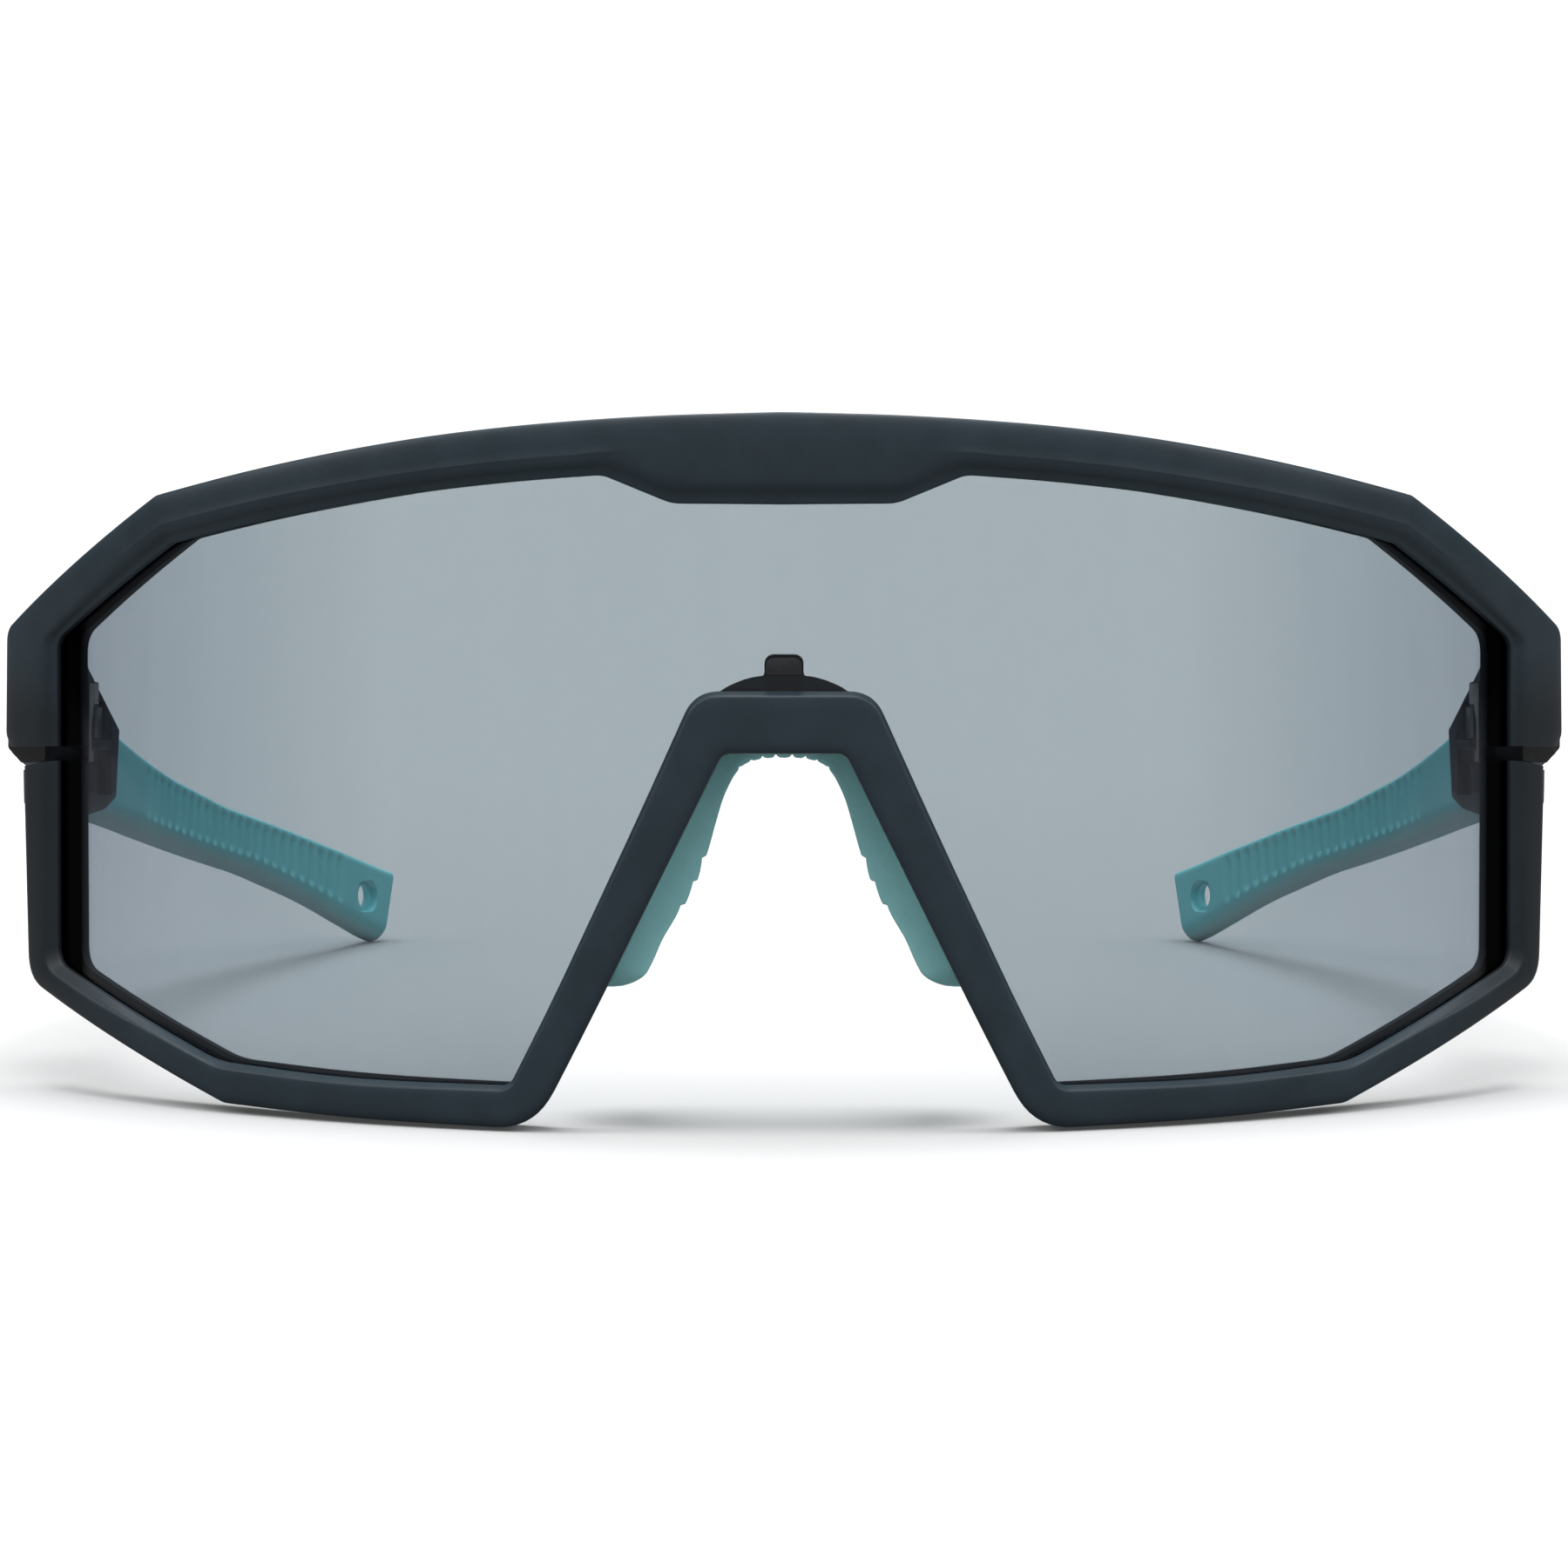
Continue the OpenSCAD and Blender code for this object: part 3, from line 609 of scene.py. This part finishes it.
boolean(sleeve, hole_tool(-0.3, -3.0, -1.5, 0.3, RECESS_R, RECESS_R + 0.5))
boolean(sleeve, hole_tool(0.3, 3.0, -0.3, 1.5, RECESS_R, RECESS_R + 0.5))
boolean(sleeve, hole_tool(-3.2, 3.2, 0, 0, HOLE_R, k=48))
tidy(sleeve.data, 40)
sleeve_r = mirrored(sleeve, "temple_sleeve_rubber_right")
for ob, side in ((sleeve, "left"), (sleeve_r, "right")):
    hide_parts("temple_sleeve_" + side)
    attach(ob, "temple_" + side)


# ---------------------------------------------------------------------
# Hard parts whose solids are right get softened edges
# ---------------------------------------------------------------------
def softened(node, name, width, segments=3, angle=25):
    me = nodes[node].data.copy()
    me.name = name
    me.materials.clear()
    ob = new_object(name, me)
    bm = bmesh.new()
    bm.from_mesh(me)
    bmesh.ops.remove_doubles(bm, verts=bm.verts, dist=2e-6)
    bmesh.ops.dissolve_limit(bm, angle_limit=math.radians(1.0), verts=bm.verts, edges=bm.edges)
    bm.to_mesh(me)
    bm.free()
    bevel(ob, width, segments, angle)
    return ob


soft = {}
for side in ("left", "right"):
    arm = softened("temple_arm_" + side, "temple_arm_moulding_" + side, 0.28)
    block = softened("hinge_block_" + side, "hinge_block_moulding_" + side, 0.35, 4)
    soft["arm_" + side], soft["block_" + side] = arm, block
    for ob, node, body, slot in ((arm, "temple_arm_" + side, "temple_" + side, "temple_plastic"),
                                 (block, "hinge_block_" + side, "upper_frame", "gloss_black")):
        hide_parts(node)
        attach(ob, body)


# ---------------------------------------------------------------------
# Materials
# ---------------------------------------------------------------------
class Mat:
    def __init__(self, name):
        self.m = bpy.data.materials.new(name)
        self.m.use_nodes = True
        self.t = self.m.node_tree
        self.t.nodes.clear()
        self.out = self.t.nodes.new("ShaderNodeOutputMaterial")
        self.coord = self.t.nodes.new("ShaderNodeTexCoord").outputs["Object"]

    def node(self, kind, **props):
        n = self.t.nodes.new(kind)
        for k, v in props.items():
            setattr(n, k, v)
        return n

    def link(self, a, b):
        self.t.links.new(a, b)

    def noise(self, scale, detail=3, rough=0.55, stretch=None):
        n = self.node("ShaderNodeTexNoise")
        n.inputs["Scale"].default_value = scale
        n.inputs["Detail"].default_value = detail
        n.inputs["Roughness"].default_value = rough
        src = self.coord
        if stretch:
            mp = self.node("ShaderNodeMapping")
            mp.inputs["Scale"].default_value = stretch
            self.link(src, mp.inputs["Vector"])
            src = mp.outputs["Vector"]
        self.link(src, n.inputs["Vector"])
        return n.outputs["Fac"]

    def ramp(self, fac, stops):
        r = self.node("ShaderNodeValToRGB")
        while len(r.color_ramp.elements) < len(stops):
            r.color_ramp.elements.new(0.5)
        for e, (pos, col) in zip(r.color_ramp.elements, stops):
            e.position = pos
            e.color = (*col, 1) if len(col) == 3 else col
        self.link(fac, r.inputs["Fac"])
        return r.outputs["Color"]

    def span(self, fac, a, b, lo, hi):
        r = self.node("ShaderNodeMapRange")
        for k, v in (("From Min", a), ("From Max", b), ("To Min", lo), ("To Max", hi)):
            r.inputs[k].default_value = v
        self.link(fac, r.inputs["Value"])
        return r.outputs["Result"]

    def mix(self, fac, a, b, mode="MIX"):
        n = self.node("ShaderNodeMix", data_type="RGBA", blend_type=mode)
        for sock, val in ((n.inputs[0], fac), (n.inputs[6], a), (n.inputs[7], b)):
            if isinstance(val, (int, float)):
                sock.default_value = val
            elif isinstance(val, tuple):
                sock.default_value = (*val, 1)
            else:
                self.link(val, sock)
        return n.outputs[2]

    def bump(self, height, strength, dist, prev=None):
        b = self.node("ShaderNodeBump")
        b.inputs["Strength"].default_value = strength
        b.inputs["Distance"].default_value = dist
        self.link(height, b.inputs["Height"])
        if prev:
            self.link(prev, b.inputs["Normal"])
        return b.outputs["Normal"]

    def principled(self, **vals):
        p = self.node("ShaderNodeBsdfPrincipled")
        for k, v in vals.items():
            sock = p.inputs[k.replace("_", " ")]
            if isinstance(v, (int, float)):
                sock.default_value = v
            elif isinstance(v, tuple):
                sock.default_value = (*v, 1) if len(v) == 3 and sock.type == "RGBA" else v
            else:
                self.link(v, sock)
        self.link(p.outputs[0], self.out.inputs["Surface"])
        return p


def plastic(name, dark, base, edge_wear_and_highlight, rough, grain=2600, bump=0.12, gloss=0.45, shade=False):
    m = Mat(name)
    fine = m.noise(grain, 2, 0.6)
    broad = m.noise(190, 4, 0.6)
    col = m.ramp(broad, [(0.35, dark), (0.65, base)])
    col = m.mix(m.span(fine, 0.3, 0.7, 0, 0.35), col, base)
    # convex edges are mixed towards a lighter edge colour by pointiness, in patches: partly real wear, partly a painted
    # highlight along the edges
    edge = m.node("ShaderNodeNewGeometry").outputs["Pointiness"]
    wear_highlight_mask = m.span(edge, 0.52, 0.60, 0, 0.6)
    wear_highlight_patches = m.span(m.noise(900, 5, 0.7), 0.48, 0.66, 0.15, 1)
    mul = m.node("ShaderNodeMath", operation="MULTIPLY")
    m.link(wear_highlight_mask, mul.inputs[0])
    m.link(wear_highlight_patches, mul.inputs[1])
    col = m.mix(mul.outputs[0], col, edge_wear_and_highlight)
    # painted shade: where the 'shade' attribute is set, the colour goes towards near black
    if shade:
        att = m.node("ShaderNodeAttribute")
        att.attribute_name = "shade"
        col = m.mix(att.outputs["Fac"], col, (0.0008, 0.0009, 0.0012))
    r = m.span(broad, 0.3, 0.7, rough - 0.05, rough + 0.06)
    nrm = m.bump(fine, bump, 0.00003)
    m.principled(Base_Color=col, Roughness=r, Normal=nrm, Specular_IOR_Level=gloss)
    return m.m


frame_mat = plastic("frame_matte_slate", (0.0128, 0.0232, 0.0312), (0.0167, 0.0292, 0.0388), (0.034, 0.05, 0.062), 0.43,
                    bump=0.3, gloss=0.3, shade=True)
temple_mat = plastic("temple_satin_slate", (0.075, 0.088, 0.105), (0.095, 0.11, 0.13), (0.14, 0.155, 0.17), 0.32)
clip_mat = plastic("clip_satin_black", (0.006, 0.006, 0.008), (0.009, 0.009, 0.011), (0.02, 0.02, 0.022), 0.4)
# painted highlight: the hinge block's edge colour is far lighter than its gloss black and stands in for glints on its
# edges
block_mat = plastic("block_gloss_black", (0.004, 0.004, 0.005), (0.006, 0.006, 0.007), (0.13, 0.14, 0.15), 0.12, bump=0.03)


def rubber(name, low, high, light, underside_bounce_light=0.0):
    m = Mat(name)
    fine = m.noise(3400, 2, 0.6)
    broad = m.noise(140, 4, 0.6)
    col = m.ramp(broad, [(0.3, low), (0.7, high)])
    col = m.mix(m.span(fine, 0.35, 0.7, 0, 0.3), col, light)
    geo = m.node("ShaderNodeNewGeometry")
    # painted highlight: convex edges are mixed paler by pointiness
    col = m.mix(m.span(geo.outputs["Pointiness"], 0.5, 0.58, 0, 0.45), col, light)
    # painted light: faces turned down are painted paler, standing in for bounce light from the floor
    down = m.node("ShaderNodeSeparateXYZ")
    m.link(geo.outputs["Normal"], down.inputs[0])
    col = m.mix(m.span(down.outputs[2], -0.75, -0.25, underside_bounce_light, 0), col, (0.72, 0.95, 0.95))
    r = m.span(broad, 0.3, 0.7, 0.5, 0.62)
    nrm = m.bump(fine, 0.18, 0.00004)
    m.principled(Base_Color=col, Roughness=r, Normal=nrm, Specular_IOR_Level=0.35,
                 Subsurface_Weight=0.2, Subsurface_Radius=(0.5, 0.9, 0.85), Subsurface_Scale=0.0008)
    return m.m


pad_mat = rubber("rubber_mint_pad", (0.28, 0.63, 0.645), (0.315, 0.675, 0.685), (0.38, 0.73, 0.74))
sleeve_mat = rubber("rubber_mint_sleeve", (0.24, 0.72, 0.76), (0.275, 0.76, 0.8), (0.34, 0.83, 0.86), 0.8)


def metal(name, a, b, rough, stretch):
    m = Mat(name)
    brush = m.noise(1500, 4, 0.7, stretch)
    col = m.ramp(brush, [(0.3, a), (0.7, b)])
    r = m.span(brush, 0.3, 0.7, rough - 0.08, rough + 0.1)
    m.principled(Base_Color=col, Roughness=r, Metallic=1.0, Normal=m.bump(brush, 0.2, 0.00002))
    return m.m


steel_mat = metal("steel_turned", (0.42, 0.43, 0.45), (0.6, 0.61, 0.62), 0.3, (1, 0.15, 1))
brass_mat = metal("brass_turned", (0.5, 0.36, 0.13), (0.66, 0.49, 0.2), 0.32, (1, 1, 0.15))


def lens_material():
    m = Mat("lens_smoke")
    sep = m.node("ShaderNodeSeparateXYZ")
    m.link(m.coord, sep.inputs[0])
    ab = m.node("ShaderNodeMath", operation="ABSOLUTE")
    m.link(sep.outputs[0], ab.inputs[0])
    side = m.span(ab.outputs[0], 0.034, 0.066, 0, 1)
    low = m.span(sep.outputs[2], 0.004, 0.03, 1, 0)
    # painted shade: the lens ends, where they sit in the frame's groove, are tinted much darker and their gloss is
    # damped
    groove_shade_ends = m.span(ab.outputs[0], 0.0618, 0.0628, 0, 1)
    haze = m.noise(60, 4, 0.6, (1, 1, 0.25))
    streak = m.noise(420, 3, 0.6, (1, 1, 0.08))
    tint = m.mix(side, (0.567, 0.612, 0.630), (0.447, 0.487, 0.525))
    tint = m.mix(m.span(low, 0, 1, 0, 0.6), tint, (0.525, 0.56, 0.592))
    tint = m.mix(m.span(haze, 0.35, 0.65, 0, 0.18), tint, (0.545, 0.59, 0.612))
    tint = m.mix(m.span(streak, 0.35, 0.65, 0, 0.12), tint, (0.59, 0.632, 0.655))
    tint = m.mix(groove_shade_ends, tint, (0.38, 0.42, 0.47))
    clear = m.node("ShaderNodeBsdfTransparent")
    m.link(tint, clear.inputs["Color"])
    gloss = m.node("ShaderNodeBsdfGlossy")
    gloss.inputs["Color"].default_value = (0.9, 0.93, 1, 1)
    m.link(m.span(haze, 0.3, 0.7, 0.03, 0.07), gloss.inputs["Roughness"])
    face = m.node("ShaderNodeLayerWeight")
    face.inputs["Blend"].default_value = 0.5
    power = m.node("ShaderNodeMath", operation="POWER")
    m.link(face.outputs["Facing"], power.inputs[0])
    power.inputs[1].default_value = 5.0
    still = m.node("ShaderNodeMath", operation="MULTIPLY")
    m.link(m.span(power.outputs[0], 0, 1, 0.04, 1), still.inputs[0])
    m.link(m.span(groove_shade_ends, 0, 1, 1, 0.08), still.inputs[1])
    fres = still.outputs[0]
    mx = m.node("ShaderNodeMixShader")
    m.link(fres, mx.inputs[0])
    m.link(clear.outputs[0], mx.inputs[1])
    m.link(gloss.outputs[0], mx.inputs[2])
    m.link(mx.outputs[0], m.out.inputs["Surface"])
    return m.m


lens_mat = lens_material()


def paint(ob, mat):
    if ob.material_slots:
        for s in ob.material_slots:
            s.material = mat
    else:
        ob.data.materials.append(mat)


for part in (upper, lower):
    # painted shade: the lip behind the lens is painted near black where it stands in the shade of the groove, and the
    # frame's sides below the brow are painted darker
    att = part.data.attributes.new("shade", "FLOAT", "POINT")
    for v in part.data.vertices:
        c = unstand(v.co)
        h = math.hypot(c[0], AXIS_Y - c[1]) - LENS_R
        deep = max(0, min(1, (0.7 - h) / 0.4)) * max(0, min(1, (h + 3.2) / 0.4))
        deep *= max(0, min(1, (abs(c[0]) - 60) / 3)) * (abs(c[0]) < 73.3)
        # painted shade: legs and rim sides darken towards near black, up to 70%, outward of 56 mm and low on the frame
        side = 0.7 * max(0, min(1, (abs(c[0]) - 56) / 12)) * max(0, min(1, (12 - c[2]) / 6))
        att.data[v.index].value = max(deep, side)
paint(upper, frame_mat)
paint(lower, frame_mat)
paint(lens, lens_mat)
paint(pad, pad_mat)
paint(clip, clip_mat)
paint(sleeve, sleeve_mat)
paint(sleeve_r, sleeve_mat)
for side in ("left", "right"):
    paint(soft["arm_" + side], temple_mat)
    paint(soft["block_" + side], block_mat)
    paint(nodes["hinge_screw_" + side], steel_mat)
    paint(nodes["hinge_nut_" + side], brass_mat)
    paint(nodes["temple_core_" + side], steel_mat)
paint(nodes["nose_core"], steel_mat)

# ---------------------------------------------------------------------
# Floor, world and lights
# ---------------------------------------------------------------------
fv = [(-30000, -30000, 0), (30000, -30000, 0), (30000, 30000, 0), (-30000, 30000, 0)]
floor = mesh_object("floor", np.array(fv, float), [(0, 1, 2, 3)], leaned=False)
fm = Mat("floor_white")
dif = fm.node("ShaderNodeBsdfDiffuse")
dif.inputs["Color"].default_value = (0.5, 0.5, 0.5, 1)
emi = fm.node("ShaderNodeEmission")
emi.inputs["Color"].default_value = (1, 1, 1, 1)
emi.inputs["Strength"].default_value = 0.05
add = fm.node("ShaderNodeAddShader")
fm.link(dif.outputs[0], add.inputs[0])
fm.link(emi.outputs[0], add.inputs[1])
dark = fm.node("ShaderNodeBsdfDiffuse")
dark.inputs["Color"].default_value = (0.2, 0.2, 0.2, 1)
path_ = fm.node("ShaderNodeLightPath")
fmx = fm.node("ShaderNodeMixShader")
fm.link(path_.outputs["Is Camera Ray"], fmx.inputs[0])
fm.link(dark.outputs[0], fmx.inputs[1])
fm.link(add.outputs[0], fmx.inputs[2])
fm.link(fmx.outputs[0], fm.out.inputs["Surface"])
paint(floor, fm.m)

world = bpy.data.worlds.new("studio")
bpy.context.scene.world = world
world.use_nodes = True
wt = world.node_tree
wt.nodes.clear()
w_out = wt.nodes.new("ShaderNodeOutputWorld")
seen = wt.nodes.new("ShaderNodeBackground")
seen.inputs["Color"].default_value = (1, 1, 1, 1)
seen.inputs["Strength"].default_value = 1.03
fill = wt.nodes.new("ShaderNodeBackground")
w_dir = wt.nodes.new("ShaderNodeTexCoord")
w_sep = wt.nodes.new("ShaderNodeSeparateXYZ")
wt.links.new(w_dir.outputs["Generated"], w_sep.inputs[0])


def w_span(sock, a, b, lo, hi):
    n = wt.nodes.new("ShaderNodeMapRange")
    for k, v in (("From Min", a), ("From Max", b), ("To Min", lo), ("To Max", hi)):
        n.inputs[k].default_value = v
    wt.links.new(sock, n.inputs["Value"])
    return n.outputs["Result"]


w_mul = wt.nodes.new("ShaderNodeMath")
w_mul.operation = "MULTIPLY"
wt.links.new(w_span(w_sep.outputs[2], 0.0, 0.5, 0.2, 0.58), w_mul.inputs[0])
wt.links.new(w_span(w_sep.outputs[1], -0.6, 0.35, 1.3, 0.45), w_mul.inputs[1])
wt.links.new(w_mul.outputs[0], fill.inputs["Strength"])
fill.inputs["Color"].default_value = (0.95, 0.98, 1, 1)
lp = wt.nodes.new("ShaderNodeLightPath")
wm = wt.nodes.new("ShaderNodeMixShader")
wt.links.new(lp.outputs["Is Camera Ray"], wm.inputs[0])
wt.links.new(fill.outputs[0], wm.inputs[1])
wt.links.new(seen.outputs[0], wm.inputs[2])
wt.links.new(wm.outputs[0], w_out.inputs["Surface"])


def soft_sun(name, back, elevation, side, strength, spread, color=(1, 1, 1)):
    """A wide soft source far away: from behind or in front, and so high over the table, in degrees."""
    d = bpy.data.lights.new(name, "SUN")
    d.energy = strength
    d.angle = math.radians(spread)
    d.color = color
    ob = new_object(name, d)
    e, s = math.radians(elevation), math.radians(side)
    way = Vector((math.sin(s) * math.cos(e), math.cos(s) * math.cos(e) * back, math.sin(e)))
    ob.rotation_euler = way.to_track_quat("Z", "Y").to_euler()
    return ob


soft_sun("key_overhead", 1, 78, 0, 3.7, 38)
soft_sun("front_soft", -1, 52, 0, 0.45, 40, (0.95, 0.98, 1.0))
soft_sun("high_left", -1, 64, 45, 0.6, 44)
soft_sun("high_right", -1, 64, -45, 0.6, 44)
soft_sun("gleam_left", -1, 36, 80, 0.65, 26)
soft_sun("gleam_right", -1, 36, -80, 0.65, 26)

bpy.context.scene.view_settings.view_transform = "Standard"
bpy.context.scene.view_settings.look = "None"
